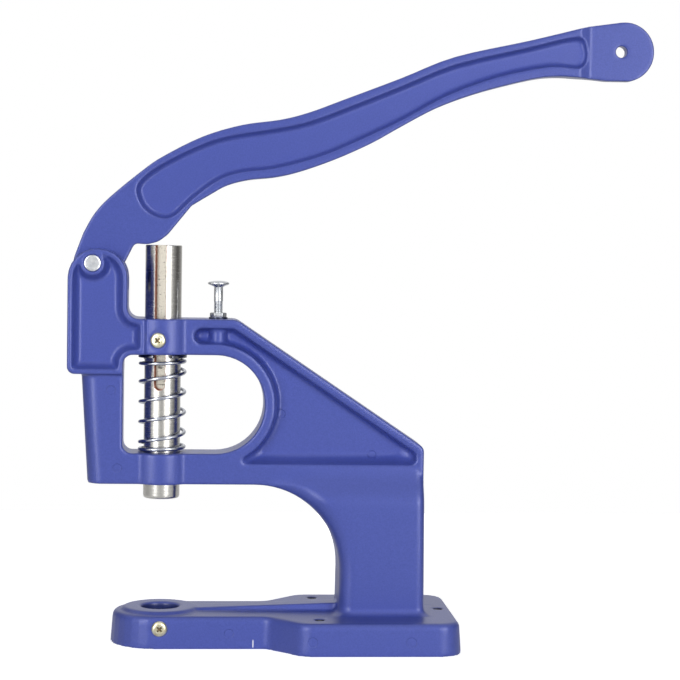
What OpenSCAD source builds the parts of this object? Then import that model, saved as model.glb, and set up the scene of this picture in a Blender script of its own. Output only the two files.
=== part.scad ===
// Hand lever press for eyelets and snap fasteners, a die-cast frame with a
// sprung ram that a curved lever pushes down.
// X runs along the base from the ram to the back, Y across it and Z up. The
// origin is on the ram's axis, in the plane that the base stands on.

/* [Base] */
// Height of the base plate
base_h = 17.5; // [14:0.5:24]
// Width of the wide back part of the base
base_w = 94; // [90:1:120]
// From the ram's axis to the back end of the base
base_back = 163.5; // [162:0.5:190]
// Width of the narrow front part, which ends in a half round
neck_w = 52.5; // [46:0.5:60]
// From the ram's axis to the front end of the base
neck_front = 27.1; // [26.3:0.1:32]
// Length of the narrow front part from the ram's axis
neck_len = 58; // [50:1:62]
// Run over which the base widens from narrow to wide
flare_run = 19; // [14:1:22]
// Radius of the back corners in plan
base_corner_r = 13; // [6:1:18]
// Rounding of the base's upper edge
base_edge_r = 3; // [1:0.5:4]
// Wall round the hollow underside
base_wall = 4.5; // [3:0.5:6]
// Thickness of the base plate over the hollow
deck_t = 5.5; // [4:0.5:8]
// Thickness of the ribs under the base
rib_t = 3; // [2:0.5:4]
// Diameter of the raised ring round the die bore
ring_d = 41; // [36:0.5:44]
// Height of the raised ring over the base plate
ring_h = 1.8; // [0.5:0.1:3]
// Diameter of the bore that takes the lower die
die_bore_d = 20.5; // [12:0.5:24]
// Depth of the bore that takes the lower die
die_bore_depth = 15; // [10:0.5:16]
// Width of the spine from the ring to the column
spine_w = 11.5; // [6:0.5:20]
// Height of the spine where it meets the column
spine_h = 4.5; // [3:0.5:8]
// Diameter of the holes for bench screws
bench_hole_d = 5; // [3:0.5:6]
// Distance between the two front bench screw holes
bench_hole_span = 66; // [56:1:70]
// From the ram's axis to the two front bench screw holes
bench_front_x = 86.5; // [82:0.5:92]
// From the last bench screw hole to the back end of the base
bench_back_edge = 8.5; // [7:0.5:12]

/* [Column and arms] */
// From the ram's axis to the column
throat_reach = 98.5; // [92:0.5:110]
// Clear height between the base and the lower arm
throat_h = 70.5; // [60:0.5:90]
// Radius that carries the lower arm into the column
throat_r = 47.5; // [25:0.5:50]
// Depth of the column, front to back
column_d = 45.8; // [40:0.1:52]
// Width of the column, side to side
column_w = 42; // [34:1:46]
// Rounding of the column's corners
column_r = 8; // [4:0.5:10]
// Thickness of the arms, side to side
arm_w = 25; // [22:0.5:28]
// Height of the lower arm
lower_arm_h = 16.9; // [14:0.1:22]
// Height of the spring window
window_h = 54; // [48:0.5:60]
// Height of the upper arm
upper_arm_h = 19.6; // [18:0.1:24]
// From the ram's axis to the front post
window_front = 21.3; // [19:0.1:24]
// From the ram's axis to the back of the spring window
window_back = 56; // [50:0.5:60]
// Height over the lower arm where the sloping back starts
shoulder_h = 4.1; // [4:0.1:16]
// From the ram's axis to the top of the sloping back
slope_x = 40.2; // [38:0.1:46]
// Width of the rim round the side pocket
pocket_rim = 6; // [4:0.5:8]
// Rim between a side pocket and the top of the arm or the sloping back
edge_rim = 4.7; // [3:0.1:7]
// Depth of the side pocket
pocket_depth = 9; // [5:0.5:10]
// Inward lean of the pocket's walls
pocket_draft = 2.4; // [1:0.1:3]
// Radius of the round collars that guide the ram
collar_r = 17; // [15:0.5:20]
// Radius of the fillet between collar and arm
collar_fillet = 4; // [1:0.5:5]
// Depth of the front post at its top
post_d = 23.5; // [20:0.1:28]
// Lean of the post's front, top to bottom
post_lean = 4.4; // [0:0.1:6]

/* [Lever ears] */
// Width over both ears
ear_w = 34; // [32:0.5:40]
// From the spring window to the front of the ears
ear_d = 30.2; // [28:0.1:34]
// Height of the ears over the upper arm
ear_rise = 37.7; // [34:0.1:42]
// Height of the ears' lower edge under the window's top
ear_drop = 10.7; // [8:0.1:14]
// From the ram's axis to the back edge of the ears
ear_back = 19.1; // [18:0.1:22]
// Width of the rim round the ear's pocket
ear_rim = 2.6; // [2:0.1:3.5]
// Depth of the ear's pocket
ear_pocket_depth = 6.5; // [3:0.5:7]
// Inward lean of the ear pocket's walls
ear_draft = 4; // [1:0.5:5]
// From the ram's axis to the lever's pivot
pivot_x = 38.2; // [37:0.1:40]
// Height of the lever's pivot over the upper arm
pivot_h = 29.8; // [28:0.1:31]
// Diameter of the pivot pin
pin_d = 9; // [7:0.5:10]
// Radius of the pin boss at the ear's face
boss_r = 6.3; // [5.5:0.1:7]
// Radius of the pin boss at the pocket's floor
boss_foot_r = 9.5; // [7:0.5:11]

/* [Lever] */
// Thickness of the lever's arm
lever_w = 14; // [12:0.5:16]
// Thickness of the flat round end
lever_end_w = 8.5; // [6:0.5:10]
// Radius of the flat round end
lever_end_r = 16.4; // [14:0.1:18]
// From the pivot to the centre of the round end, along X
lever_reach = 291.5; // [270:0.5:310]
// From the pivot up to the centre of the round end
lever_rise = 120.9; // [110:0.1:126]
// Radius of the hub round the pivot pin
hub_r = 10.8; // [9:0.1:12]
// Depth of the pockets along the lever
lever_pocket_depth = 4.5; // [2:0.5:5]
// Inward lean of the lever pocket's walls
lever_draft = 2.6; // [1:0.1:3]
// Diameter of the hanging hole
hang_hole_d = 6.4; // [4:0.1:8]
// From the centre of the round end back to the hanging hole
hang_hole_back = 2; // [0:0.1:4]

/* [Ram] */
// Diameter of the ram
ram_d = 20; // [16:0.5:22]
// Ram over the upper arm with the lever up
ram_above = 40; // [36:0.5:46]
// Ram under the lower arm with the lever up
ram_below = 8.5; // [6:0.5:16]
// Width of the keyway
key_w = 5.7; // [5.4:0.1:7]
// Depth of the keyway
key_depth = 3.2; // [2:0.1:4]
// From the upper arm's underside down to the end of the keyway
key_below = 19.5; // [12:0.1:26]
// Turn of the keyway from straight ahead, in degrees
key_turn = 8.6; // [0:0.1:20]
// Diameter of the small hole in the keyway
key_hole_d = 3; // [2:0.1:4]
// From the upper arm's underside down to the small hole
key_hole_below = 6.6; // [4:0.1:8]
// Diameter of the threaded punch socket in the ram's foot
punch_bore_d = 6.8; // [5:0.1:10]
// Depth of the punch socket
punch_bore_depth = 18; // [8:0.5:24]

/* [Spring and ring] */
// Wire diameter of the return spring
wire_d = 1.8; // [1.2:0.1:2.2]
// Mean diameter of the return spring
spring_d = 24.4; // [24.2:0.1:26]
// Open turns of the spring
open_turns = 4; // [3:0.5:5]
// Closed turns at each end of the spring
end_turns = 1; // [1:0.25:1.5]
// Outer diameter of the retaining ring
clip_d = 26.6; // [25:0.1:28]
// Thickness of the retaining ring
clip_t = 1.5; // [1:0.1:2]
// Width of the ring's opening
clip_mouth = 10.4; // [6:0.1:12]
// Depth of the groove that holds the ring
groove_depth = 0.8; // [0.5:0.1:1.2]

/* [Screws] */
// Diameter of the stop bolt and the two set screws
screw_d = 5; // [4:0.5:5.2]
// Diameter of the cross-recess heads
screw_head_d = 8.5; // [7:0.1:9]
// Height of the cross-recess heads
screw_head_h = 2.4; // [1.5:0.1:3]
// From the ram's axis to the stop bolt
stop_x = 30.2; // [29:0.1:32]
// Height of the stop bolt's head over the upper arm
stop_rise = 20.8; // [16:0.1:22]
// Length of the stop bolt
stop_len = 36; // [34:0.5:38]
// Diameter of the stop bolt's head
stop_head_d = 11.7; // [10:0.1:13]
// Width of the lock nut across its flats
nut_flats = 8; // [7:0.5:10]
// Height of the lock nut
nut_h = 2.4; // [2:0.1:4]
// Outer diameter of the washer
washer_d = 10.3; // [9:0.1:12]
// Thickness of the washer
washer_t = 0.9; // [0.5:0.1:1.5]
// Diameter of the boss that the stop bolt is screwed into
stop_boss_d = 8.8; // [8:0.1:12]
// From the stop bolt's axis to the middle of its boss's round on each side
stop_boss_out = 5; // [0:0.1:7]
// Height of the die clamp screw over the floor
clamp_z = 11; // [9:0.1:12]

/* [Fits] */
// Radial clearance of the ram in its collars
ram_fit = 0.06; // [0.02:0.01:0.1]
// Radial clearance of the lever on its pin
pin_fit = 0.06; // [0.02:0.01:0.1]
// Radial clearance of a fixed pin or screw in its hole
seat_fit = 0.03; // [0.01:0.01:0.1]
// Sideways clearance between the lever and each ear
side_gap = 0.3; // [0.2:0.1:0.6]
// Gap between two pieces that rest on each other
rest_gap = 0.1; // [0.05:0.05:0.3]
// Gap between the lever's nose and the ram with the lever up
nose_gap = 0.3; // [0.2:0.1:0.5]
// Gap between the retaining ring and the upper arm
clip_gap = 0.5; // [0.3:0.1:0.8]

/* [Hidden] */

// Colours
blue = "#5560b4";
steel = "#b9bcc0";
zinc = "#d9dadb";
yellow_zinc = "#d8cf9c";

// Shared overrun of every cut, and the least radius of a rounded corner
over = 1;
least_r = 0.4;
half_turn = 180;

// Heights of the frame
lower_arm_z = base_h + throat_h;
window_z = lower_arm_z + lower_arm_h;
upper_arm_z = window_z + window_h;
arm_top_z = upper_arm_z + upper_arm_h;
ring_top_z = base_h + ring_h;
ram_top_z = arm_top_z + ram_above;
ram_foot_z = lower_arm_z - ram_below;
pivot = [-pivot_x, arm_top_z + pivot_h];

// Spring window, whose back is a half round
window_r = window_h / 2;
window_mid = [window_back - window_r, window_z + window_r];
window_corner_r = lower_arm_h * 0.3;
column_x = throat_reach;
column_back = column_x + column_d;
shoulder = [column_back, window_z + shoulder_h];
slope_run = shoulder.x - slope_x;
slope_fall = arm_top_z - shoulder.y;
slope_angle = atan2(slope_fall, slope_run);

// A point on a circle, and an arc of n steps about c from angle a to angle b
function polar(c, r, a) = c + r * [cos(a), sin(a)];
function arc(c, r, a, b, n) = [for (i = [0:n]) polar(c, r, a + (b - a) * i / n)];
function unit(v) = v / norm(v);
function flat(v) = [v.x, v.y];
function cross2(a, b) = a.x * b.y - a.y * b.x;

// The rounded corner q, whose third value is its radius, between p and s
function corner(p, q, s, n) =
    let (a = unit(flat(p) - flat(q)),
         b = unit(flat(s) - flat(q)),
         half = acos(a * b) / 2,
         c = flat(q) + unit(a + b) * q.z / sin(half),
         side = cross2(b, a) > 0 ? 1 : -1,
         mid = atan2(-(a + b).y, -(a + b).x),
         turn = side * (90 - half))
    arc(c, q.z, mid - turn, mid + turn, n);

// A closed outline of corners [x, y, radius], each rounded in n steps
function rounded(pts, n = 6) =
    let (m = len(pts))
    [for (i = [0:m - 1]) each corner(pts[(i + m - 1) % m], pts[i], pts[(i + 1) % m], n)];

// The same corners with every side moved in by d, for an anticlockwise outline
function shrink(pts, d) =
    let (m = len(pts))
    [for (i = [0:m - 1])
        let (q = pts[i],
             a = unit(flat(pts[(i + m - 1) % m]) - flat(q)),
             b = unit(flat(pts[(i + 1) % m]) - flat(q)),
             side = cross2(b, a) > 0 ? 1 : -1,
             half = acos(a * b) / 2,
             at = flat(q) + side * unit(a + b) * d / sin(half))
        [at.x, at.y, max(q.z - side * d, least_r)]];

// A closed outline of many points moved in by d along its own normals
function inset(p, d) =
    let (m = len(p))
    [for (i = [0:m - 1])
        let (v = unit(unit(p[(i + 1) % m] - p[i]) + unit(p[i] - p[(i + m - 1) % m])))
        p[i] + d * [-v.y, v.x]];

// A smooth curve through every point, n steps from one to the next
function blend(a, b, c, d, t) =
    (2 * b + (c - a) * t + (2 * a - 5 * b + 4 * c - d) * t * t + (3 * b - a - 3 * c + d) * t * t * t) / 2;
function curve(p, n) =
    let (m = len(p), q = concat([2 * p[0] - p[1]], p, [2 * p[m - 1] - p[m - 2]]))
    concat([for (i = [1:m - 1]) for (k = [0:n - 1]) blend(q[i - 1], q[i], q[i + 1], q[i + 2], k / n)],
           [p[m - 1]]);
function loop(p, n) =
    let (m = len(p))
    [for (i = [0:m - 1]) for (k = [0:n - 1])
        blend(p[(i + m - 1) % m], p[i], p[(i + 1) % m], p[(i + 2) % m], k / n)];

// Triangles that close a ring of n points like the rungs of a ladder, each from a
// point of the ring's first half to its match in the second half
function ladder(n) =
    [for (i = [0:ceil(n / 2) - 2])
        let (a = n - 2 - i)
        each concat(i + 1 == a ? [] : [[i, i + 1, a]], [[i, a, a + 1]])];

// Two triangles between neighbours i and j of the rings that start at points a and b
function panel(a, b, i, j) = [[a + i, b + i, b + j], [a + i, b + j, a + j]];

// Solid skin over rings of equally many points, closed by the first and the last
module loft(rings) {
    n = len(rings[0]);
    last = (len(rings) - 1) * n;
    polyhedron(
        points = [for (r = rings) each r],
        faces = concat(
            ladder(n),
            [for (k = [0:n:last - n]) for (i = [0:n - 1]) each panel(k, k + n, i, (i + 1) % n)],
            [for (t = ladder(n)) [last + t[2], last + t[1], last + t[0]]]),
        convexity = 10);
}

// Rings of an outline, lying flat at height z, or upright at the place y
function level(p, z) = [for (q = p) [q.x, q.y, z]];
function upright(p, y) = [for (q = p) [q.x, y, q.y]];

// Upright slab of an outline in X and Z, w thick and centred on Y = 0
module slab(p, w) {
    rotate([90, 0, 0])
        linear_extrude(height = w, center = true)
            polygon(p);
}

module both_sides() {
    children();
    mirror([0, 1, 0]) children();
}

// Base plate: corners of its plan, anticlockwise, from the front end
flare_r = neck_w * 0.14;
shoulder_r = base_w * 0.15;
base_corners = [
    [-neck_front, -neck_w / 2, neck_w / 2 - least_r],
    [neck_len, -neck_w / 2, flare_r],
    [neck_len + flare_run, -base_w / 2, shoulder_r],
    [base_back, -base_w / 2, base_corner_r],
    [base_back, base_w / 2, base_corner_r],
    [neck_len + flare_run, base_w / 2, shoulder_r],
    [neck_len, neck_w / 2, flare_r],
    [-neck_front, neck_w / 2, neck_w / 2 - least_r]];
side_draft = base_h * 0.06;
edge_steps = 4;

module base_plate() {
    loft(concat(
        [level(rounded(base_corners, 8), 0)],
        [for (i = [0:edge_steps])
            let (a = 90 * i / edge_steps)
            level(rounded(shrink(base_corners, side_draft + base_edge_r * (1 - cos(a))), 8),
                  base_h - base_edge_r * (1 - sin(a)))]));
}

// Raised ring round the die bore, with a softened edge
ring_edge = ring_h * 0.4;
module die_ring() {
    translate([0, 0, base_h / 2])
        cylinder(d = ring_d, h = ring_top_z - ring_edge - base_h / 2, $fn = 96);
    translate([0, 0, ring_top_z - ring_edge])
        cylinder(d1 = ring_d, d2 = ring_d - 2 * ring_edge, h = ring_edge, $fn = 96);
}

// Low spine that rises from the ring to the column
module spine() {
    slab([[ring_d * 0.35, base_h * 0.7],
          [column_x + column_r, base_h * 0.7],
          [column_x + column_r, base_h + spine_h],
          [ring_d * 0.45, ring_top_z - ring_edge / 2],
          [ring_d * 0.35, ring_top_z - ring_edge / 2]], spine_w);
}

// Left edge of the column at height z: straight, then along the throat's arc
throat_mid_z = lower_arm_z - throat_r;
function column_left(z) =
    z <= throat_mid_z ? column_x :
    column_x - throat_r + sqrt(max(pow(throat_r, 2) - pow(min(z, lower_arm_z) - throat_mid_z, 2), 0));

// The column's section thins out to the arms' width over this height
thin_top_z = lower_arm_z + lower_arm_h * 0.6;
thin_foot_z = lower_arm_z - lower_arm_h * 0.6;
function ease(t) = let (u = min(max(t, 0), 1)) u * u * (3 - 2 * u);
foot_r = column_r * 0.45;
column_draft_share = 0.01;
function column_grow(z) =
    let (t = min((z - base_h) / foot_r, 1))
    foot_r * (1 - sqrt(max(1 - pow(1 - t, 2), 0))) + (thin_foot_z - min(z, thin_foot_z)) * column_draft_share;
function column_half(z) =
    arm_w / 2 + (column_w - arm_w) / 2 * ease((thin_top_z - z) / (thin_top_z - thin_foot_z));

// Front corner of the column in plan, from its face at t = 0 to its side at t = 1:
// a quarter ellipse for w = 1, and for w = 0 a run that leaves the arm's face gently
function corner_share(t, w) = w * [1 - cos(90 * t), sin(90 * t)] + (1 - w) * [t, ease(t)];

// The corner's run grows along the throat's arc, as the arc turns level
blend_run = throat_r * 0.7;
corner_steps = 8;
function column_ring(z) =
    let (g = column_grow(z), x0 = column_left(z) - g, x1 = column_back + g, y = column_half(z) + g,
         lean = cos(asin(min(max((z - throat_mid_z) / throat_r, 0), 1))),
         h = column_r + (blend_run - column_r) * pow(1 - lean, 1.5),
         v = max(min(column_r, y - arm_w / 2 + least_r), column_r * lean),
         b = column_r / 2,
         front = [for (i = [0:corner_steps])
             let (q = corner_share(i / corner_steps, lean)) [x0 + h * q.x, y - v + v * q.y]])
    level(concat([for (q = front) [q.x, -q.y]],
                 arc([x1 - b, b - y], b, -90, 0, 3), arc([x1 - b, y - b], b, 0, 90, 3),
                 [for (i = [corner_steps:-1:0]) front[i]]), z);

column_levels = concat(
    [for (i = [0:4]) base_h + foot_r * (i - 1) / 3],
    [for (i = [0:15]) throat_mid_z + throat_r * sin(90 * i / 16)],
    [for (i = [0:5]) lower_arm_z + (thin_top_z - lower_arm_z) * i / 5]);

module column() {
    loft([for (z = column_levels) column_ring(z)]);
}

// Outline of both arms and the sloping back, in X and Z
shoulder_round = column_d * 0.09;
arm_corners = [
    [-window_front - post_d / 2, lower_arm_z, least_r],
    [column_back, lower_arm_z, least_r],
    [shoulder.x, shoulder.y, shoulder_round],
    [slope_x, arm_top_z, upper_arm_h * 0.4],
    [-window_front - post_d / 2, arm_top_z, least_r]];

// Opening for the ram, the ring and the spring
window_corners = [
    [-window_front, window_z, window_corner_r],
    [window_back, window_z, window_r - least_r],
    [window_back, upper_arm_z, window_r - least_r],
    [-window_front, upper_arm_z, window_corner_r]];

// Side pocket of the sloping back, every side moved in by d and its foot by more.
// It follows the window's half round, and a narrow tail of it reaches into the arm.
pocket_foot_share = 0.66;
tail_x = stop_x - stop_boss_d;
tip_r = pocket_rim / 3;
tip_round = pocket_rim * 0.42;
pocket_low_z = lower_arm_z + lower_arm_h * pocket_foot_share;
foot_lift_share = 1.2;

function pocket_outline(d) =
    let (r = window_r + pocket_rim + d,
         low = pocket_low_z + d * (1 + foot_lift_share),
         high = arm_top_z - edge_rim - d,
         slope_in = (edge_rim + d) / cos(slope_angle),
         room = tip_round * (1 + tan((half_turn / 2 - slope_angle) / 2)) + least_r,
         back = min(column_back - pocket_rim * 0.75 - d,
                    slope_x + (arm_top_z - slope_in - low - room) / tan(slope_angle)),
         tip = asin((low + tip_r - window_mid.y) / (r + tip_r)),
         tip_c = polar(window_mid, r + tip_r, tip),
         tip_arc = arc(tip_c, tip_r, tip + half_turn, 270, 4),
         back_z = arm_top_z - slope_in - (back - slope_x) * tan(slope_angle),
         turn_x = slope_x - (slope_in - edge_rim - d) / tan(slope_angle),
         tail_half = (high - window_mid.y - r) / 2,
         tail = arc([tail_x, high - tail_half], tail_half, 90, 270, 8))
    concat(
        [for (i = [4:8]) tail[i]],
        arc(window_mid, r, 90, tip, 16),
        [for (i = [1:4]) tip_arc[i]],
        corner([tip_c.x, low], [back, low, tip_round], [back, back_z], 4),
        corner([back, low], [back, back_z, tip_round], [turn_x, high], 4),
        [for (i = [1:4]) [back, back_z] + ([turn_x, high] - [back, back_z]) * i / 5],
        corner([back, back_z], [turn_x, high, pocket_rim / 2], [tail_x, high], 3),
        [for (i = [0:3]) tail[i]]);

// Wall profile of a pocket, from its coved floor out: [share of depth, share of lean]
cove_shares = [[1, 1], [0.82, 0.62], [0.55, 0.35], [0, 0]];

module side_pocket() {
    loft(concat(
        [for (c = cove_shares)
            upright(pocket_outline(c[1] * pocket_draft), -arm_w / 2 + c[0] * pocket_depth)],
        [upright(pocket_outline(0), -arm_w / 2 - over)]));
}

// Collar round the ram with fillets into both faces of the arm
fillet_x = sqrt(pow(collar_r + collar_fillet, 2) - pow(arm_w / 2 + collar_fillet, 2));
fillet_end = atan2(arm_w / 2 + collar_fillet, fillet_x);
module collar(z, h) {
    translate([0, 0, z]) {
        cylinder(r = collar_r, h = h, $fn = 96);
        for (x = [0, 1]) mirror([x, 0, 0]) both_sides()
            linear_extrude(height = h)
                polygon(concat(
                    [[0, 0], [fillet_x, 0]],
                    arc([fillet_x, arm_w / 2 + collar_fillet], collar_fillet,
                        1.5 * half_turn, half_turn + fillet_end, 6)));
    }
}

// Front post, a lofted half round that leans back towards its foot
post_round = arm_w * 0.36;
function post_ring(z, lean) =
    level(rounded([
        [-window_front - post_d + lean, -arm_w / 2, post_round],
        [window_corner_r - window_front, -arm_w / 2, least_r],
        [window_corner_r - window_front, arm_w / 2, least_r],
        [-window_front - post_d + lean, arm_w / 2, post_round]], 7), z);

module post() {
    loft([post_ring(lower_arm_z, post_lean), post_ring(upper_arm_z, 0)]);
}

// Outline of the ears in X and Z, anticlockwise
ear_foot_z = upper_arm_z - ear_drop;
ear_front = -window_front - ear_d;
ear_top_z = arm_top_z + ear_rise;
ear_round = (-ear_back - ear_front) / 2 - least_r;
ear_side = -collar_r * 0.56;
ear_corners = [
    [ear_front, ear_foot_z, ear_rim * 1.5],
    [-window_front, ear_foot_z, least_r],
    [-window_front, upper_arm_z, window_corner_r],
    [ear_side, upper_arm_z, least_r],
    [ear_side, arm_top_z, least_r],
    [-ear_back, arm_top_z, ear_rim * 2.2],
    [-ear_back, ear_top_z, ear_round],
    [ear_front, ear_top_z, ear_round]];

module ear_pocket() {
    loft(concat(
        [for (c = cove_shares)
            upright(rounded(shrink(ear_corners, ear_rim + c[1] * ear_draft), 6),
                    -ear_w / 2 + c[0] * ear_pocket_depth)],
        [upright(rounded(shrink(ear_corners, ear_rim), 6), -ear_w / 2 - over)]));
}

// Slot between the ears for the lever
slot_w = lever_w + 2 * side_gap;
slot_floor_z = pivot.y - hub_r - 2 * side_gap - ear_rim;

// Tapered bosses that stand in the ears' pockets round the pin
module pin_bosses() {
    intersection() {
        slab(rounded(ear_corners, 6), ear_w);
        both_sides()
            translate([pivot.x, -ear_w / 2, pivot.y])
                rotate([-90, 0, 0])
                    cylinder(r1 = boss_r, r2 = boss_foot_r, h = ear_pocket_depth + least_r, $fn = 64);
    }
}

module slot_cut() {
    translate([ear_front - over, -slot_w / 2, slot_floor_z])
        cube([-ear_back - ear_front + 2 * over, slot_w, ear_top_z - slot_floor_z + over]);
}

// Boss in the arm's pocket that the stop bolt is screwed into
module stop_boss() {
    translate([stop_x, 0, upper_arm_z + pocket_rim / 2])
        linear_extrude(height = upper_arm_h - (pocket_rim + edge_rim) / 2)
            polygon(concat(arc([0, -stop_boss_out], stop_boss_d / 2, -half_turn, 0, 12),
                           arc([0, stop_boss_out], stop_boss_d / 2, 0, half_turn, 12)));
}

// Bench screw holes and the bosses that carry them under the deck
bench_holes = [[bench_front_x, -bench_hole_span / 2], [bench_front_x, bench_hole_span / 2],
               [base_back - bench_back_edge, 0]];
bench_boss_r = bench_hole_d / 2 + base_wall * 0.8;

module bench_cuts() {
    for (p = bench_holes)
        translate([p.x, p.y, -over])
            cylinder(d = bench_hole_d, h = base_h + 2 * over, $fn = 32);
}

// Hollow underside: the plan inside the wall, less ribs, bosses and the column's foot
hollow_h = base_h - deck_t;
rib_xs = [neck_len * 0.55, neck_len * 0.97, bench_front_x - bench_boss_r, column_x,
          column_x + column_d / 2, column_back];
die_boss_r = die_bore_d / 2 + base_wall;
module base_hollow() {
    difference() {
        translate([0, 0, -over])
            linear_extrude(height = hollow_h + over)
                polygon(rounded(shrink(base_corners, base_wall), 8));
        translate([0, 0, -2 * over])
            cylinder(r = die_boss_r, h = base_h, $fn = 64);
        for (p = bench_holes)
            translate([p.x, p.y, -2 * over])
                cylinder(r = bench_boss_r, h = base_h, $fn = 32);
        for (x = rib_xs)
            translate([x - rib_t / 2, -base_w / 2, -2 * over])
                cube([rib_t, base_w, base_h]);
        translate([0, -rib_t / 2, -2 * over])
            cube([base_back, rib_t, base_h]);
        for (s = [-1, 1])
            translate([neck_len, s * column_w / 2 - rib_t / 2, -2 * over])
                cube([base_back - neck_len, rib_t, base_h]);
        translate([-screw_d, -neck_w / 2, -2 * over])
            cube([2 * screw_d, neck_w / 2, base_h]);
    }
}

// Two core pockets that hollow the column from below, either side of a rib
core_wall = column_w * 0.14;
core_d = (column_d - 2 * core_wall - rib_t) / 2;
core_draft = base_wall / 2;
core_top_z = lower_arm_z - throat_r * 0.45;
function core_section(x, d) = rounded([
    [x + d, -column_w / 2 + core_wall + d, base_wall],
    [x + core_d - d, -column_w / 2 + core_wall + d, base_wall],
    [x + core_d - d, column_w / 2 - core_wall - d, base_wall],
    [x + d, column_w / 2 - core_wall - d, base_wall]], 4);
module column_cores() {
    for (x = [column_x + core_wall, column_x + core_wall + core_d + rib_t])
        loft([level(core_section(x, 0), -over), level(core_section(x, core_draft), core_top_z)]);
}

// Flat that a screw's head seats on, cut square into a round face of radius r
seat_sink = screw_head_h * 0.5;
seat_r = screw_head_d / 2 + screw_head_h * 0.2;
module screw_seat(r) {
    translate([0, -r + seat_sink, 0])
        rotate([90, 0, 0])
            cylinder(r = seat_r, h = r, $fn = 48);
}

module screw_hole(r) {
    translate([0, -ram_d / 4, 0])
        rotate([90, 0, 0])
            cylinder(d = screw_d + 2 * seat_fit, h = r, $fn = 32);
}

key_screw_z = upper_arm_z + upper_arm_h * 0.41;

module frame_casting() {
    color(blue)
        difference() {
            union() {
                difference() {
                    union() {
                        slab(rounded(arm_corners, 6), arm_w);
                        slab(rounded(ear_corners, 6), ear_w);
                        column();
                        post();
                    }
                    both_sides() side_pocket();
                    both_sides() ear_pocket();
                }
                pin_bosses();
                stop_boss();
                base_plate();
                die_ring();
                spine();
                collar(lower_arm_z, lower_arm_h);
                collar(upper_arm_z, upper_arm_h);
            }
            slab(rounded(window_corners, 12), ear_w + 2 * over);
            slot_cut();
            base_hollow();
            column_cores();
            bench_cuts();
            translate([0, 0, ring_top_z - die_bore_depth])
                cylinder(d = die_bore_d, h = die_bore_depth + over, $fn = 96);
            translate([0, 0, ring_top_z - ring_edge])
                cylinder(d1 = die_bore_d, d2 = die_bore_d + 2 * ring_h, h = 2 * ring_edge, $fn = 96);
            translate([0, 0, lower_arm_z - over])
                cylinder(r = ram_d / 2 + ram_fit, h = arm_top_z - lower_arm_z + 2 * over, $fn = 96);
            translate([pivot.x, ear_w / 2 + over, pivot.y])
                rotate([90, 0, 0])
                    cylinder(r = pin_d / 2 + seat_fit, h = ear_w + 2 * over, $fn = 64);
            translate([stop_x, 0, upper_arm_z - over])
                cylinder(d = screw_d + 2 * seat_fit, h = upper_arm_h + 2 * over, $fn = 32);
            translate([0, 0, key_screw_z]) rotate([0, 0, -key_turn]) {
                screw_seat(collar_r);
                screw_hole(collar_r);
            }
            translate([0, 0, clamp_z]) {
                screw_seat(neck_w / 2);
                screw_hole(neck_w / 2);
            }
        }
}

// Lever. Tables of its edges as shares of its reach and rise, from the pivot.
// Upper edge, from over the hub out to the round end
upper_shares = [[-0.019, 0.134], [0.001, 0.220], [0.030, 0.298], [0.090, 0.420], [0.129, 0.486],
                [0.202, 0.577], [0.275, 0.632], [0.347, 0.659], [0.401, 0.695], [0.465, 0.755],
                [0.572, 0.857], [0.674, 0.959], [0.815, 1.040], [0.930, 1.112]];
// Lower edge, from the round end back to the nose
lower_shares = [[0.965, 0.866], [0.917, 0.876], [0.874, 0.880], [0.835, 0.872], [0.782, 0.842],
                [0.712, 0.793], [0.641, 0.726], [0.574, 0.638], [0.518, 0.560], [0.450, 0.484],
                [0.383, 0.425], [0.336, 0.398], [0.289, 0.385], [0.248, 0.358], [0.215, 0.313],
                [0.182, 0.264]];
// Side pocket, anticlockwise from its outer end
hollow_shares = [[0.927, 1.020], [0.905, 1.062], [0.810, 1.006], [0.675, 0.924], [0.575, 0.822],
                 [0.470, 0.717], [0.400, 0.652], [0.340, 0.618], [0.262, 0.586], [0.209, 0.549],
                 [0.138, 0.466], [0.097, 0.400], [0.079, 0.340], [0.088, 0.265], [0.107, 0.222],
                 [0.131, 0.204], [0.153, 0.222], [0.188, 0.303], [0.235, 0.386], [0.281, 0.421],
                 [0.335, 0.437], [0.416, 0.491], [0.483, 0.559], [0.574, 0.666], [0.660, 0.782],
                 [0.757, 0.871], [0.855, 0.922], [0.910, 0.918], [0.928, 0.955]];

lever_end = pivot + [lever_reach, lever_rise];
function on_lever(shares) = [for (s = shares) pivot + [s[0] * lever_reach, s[1] * lever_rise]];

// Nose that pushes the ram, as shares of the distance from pivot to ram axis,
// upwards from its lowest point, which stands clear of the ram by the nose gap
nose_shares = [[0.445, -0.262, 0.02], [0.580, 0.010, 0.08], [0.775, 0.000, 0.20], [0.925, 0.042, 0.26],
               [1.060, 0.148, 0.24], [1.200, 0.345, 0.30]];
nose_z = ram_top_z + nose_gap - pivot.y;
function nose_point(s) = [pivot.x + s[0] * pivot_x, pivot.y + nose_z + s[1] * pivot_x, s[2] * pivot_x];
nose_corners = [for (s = nose_shares) nose_point(s)];
nose_last = len(nose_corners) - 1;

hub_turn = [160, 330];
function lever_outline() =
    concat(
        arc(pivot, hub_r, hub_turn[0], hub_turn[1], 12),
        [flat(nose_corners[0])],
        [for (i = [1:nose_last - 1])
            each corner(nose_corners[i - 1], nose_corners[i], nose_corners[i + 1], 4)],
        [for (i = [len(lower_shares) * 4 - 4:-1:0]) curve(on_lever(lower_shares), 4)[i]],
        arc(lever_end, lever_end_r, -80, 98, 18),
        [for (i = [len(upper_shares) * 4 - 4:-1:0]) curve(on_lever(upper_shares), 4)[i]]);

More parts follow.
